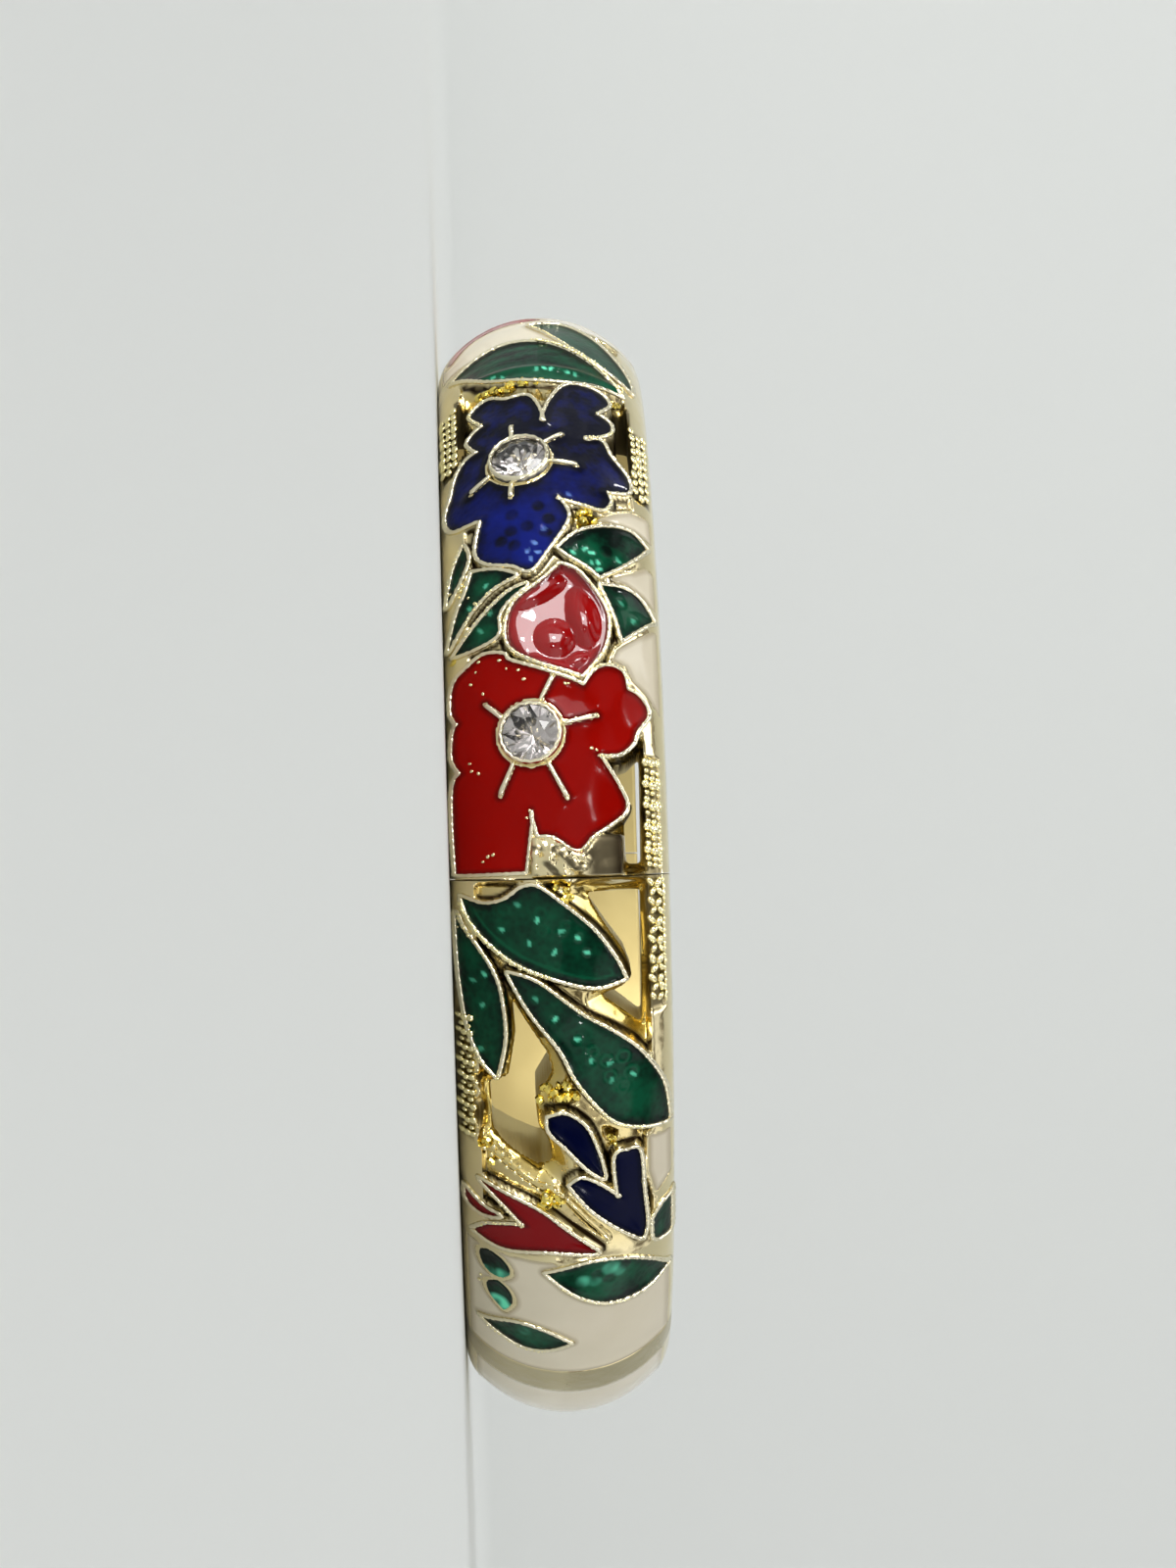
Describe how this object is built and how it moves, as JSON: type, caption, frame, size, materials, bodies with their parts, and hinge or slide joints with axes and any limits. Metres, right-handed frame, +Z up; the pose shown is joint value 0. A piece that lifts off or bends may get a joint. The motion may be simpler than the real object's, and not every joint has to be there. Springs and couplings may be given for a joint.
{
  "type": "hinged enamel bangle",
  "caption": "Oval hinged bangle, a domed gilt cast band in two halves, with enamel flowers and leaves, openwork at the front and clear stones set in the flowers.",
  "frame": {"origin": "middle of the wrist opening, in the plane of the side wall that the bangle lies on", "axes": "+X along the long axis of the oval towards the half with the long leaves, -Y towards the decorated front and the clasp, +Y towards the hinge, +Z up along the axis of the wrist"},
  "size_m": [0.071, 0.0614, 0.013],
  "materials": {
    "gilt_casting": "pale gold plate, polished, on a zinc casting",
    "gilt_fittings": "pale gold plate, polished",
    "white_enamel": "glossy opaque enamel",
    "green_enamel": "glossy translucent enamel over a textured gilt ground",
    "red_enamel": "glossy opaque enamel",
    "blue_enamel": "glossy deep enamel",
    "clear_stone": "faceted clear glass, foiled behind"
  },
  "bodies": {
    "flower_half": {"flower_half_casting": "gilt_casting", "hinge_pin": "gilt_fittings", "blue_flower_enamel": "blue_enamel", "red_flower_enamel": "red_enamel", "blue_flower_stone": "clear_stone", "red_flower_stone": "clear_stone", "top_white_enamel": "white_enamel", "flower_back_enamel": "white_enamel", "leaf_a_enamel": "green_enamel", "leaf_b_enamel": "green_enamel", "leaf_c_enamel": "green_enamel", "leaf_d_enamel": "green_enamel", "leaf_e_enamel": "green_enamel", "leaf_f_enamel": "green_enamel", "leaf_g_enamel": "green_enamel", "red_bud_enamel": "red_enamel", "top_petal_enamel": "red_enamel", "shoulder_white_enamel": "white_enamel", "middle_white_enamel": "white_enamel", "flank_white_enamel": "white_enamel"},
    "leaf_half": {"leaf_half_casting": "gilt_casting", "clasp_tongue": "gilt_fittings", "lower_white_enamel": "white_enamel", "leaf_back_enamel": "white_enamel", "side_white_enamel": "white_enamel", "leaf_h_enamel": "green_enamel", "leaf_i_enamel": "green_enamel", "leaf_j_enamel": "green_enamel", "leaf_m_enamel": "green_enamel", "leaf_n_enamel": "green_enamel", "leaf_o_enamel": "green_enamel", "leaf_o_tip_enamel": "green_enamel", "leaf_p_enamel": "green_enamel", "red_spray_enamel": "red_enamel", "red_sliver_enamel": "red_enamel", "blue_petal_enamel": "blue_enamel", "blue_spray_enamel": "blue_enamel"}
  },
  "joints": [
    {"name": "hinge", "type": "hinge", "parent": "flower_half", "child": "leaf_half", "pos_m": [0, 0.0292, 0.0065], "axis": [0, 0, 1], "range_deg": [0, 60]}
  ]
}
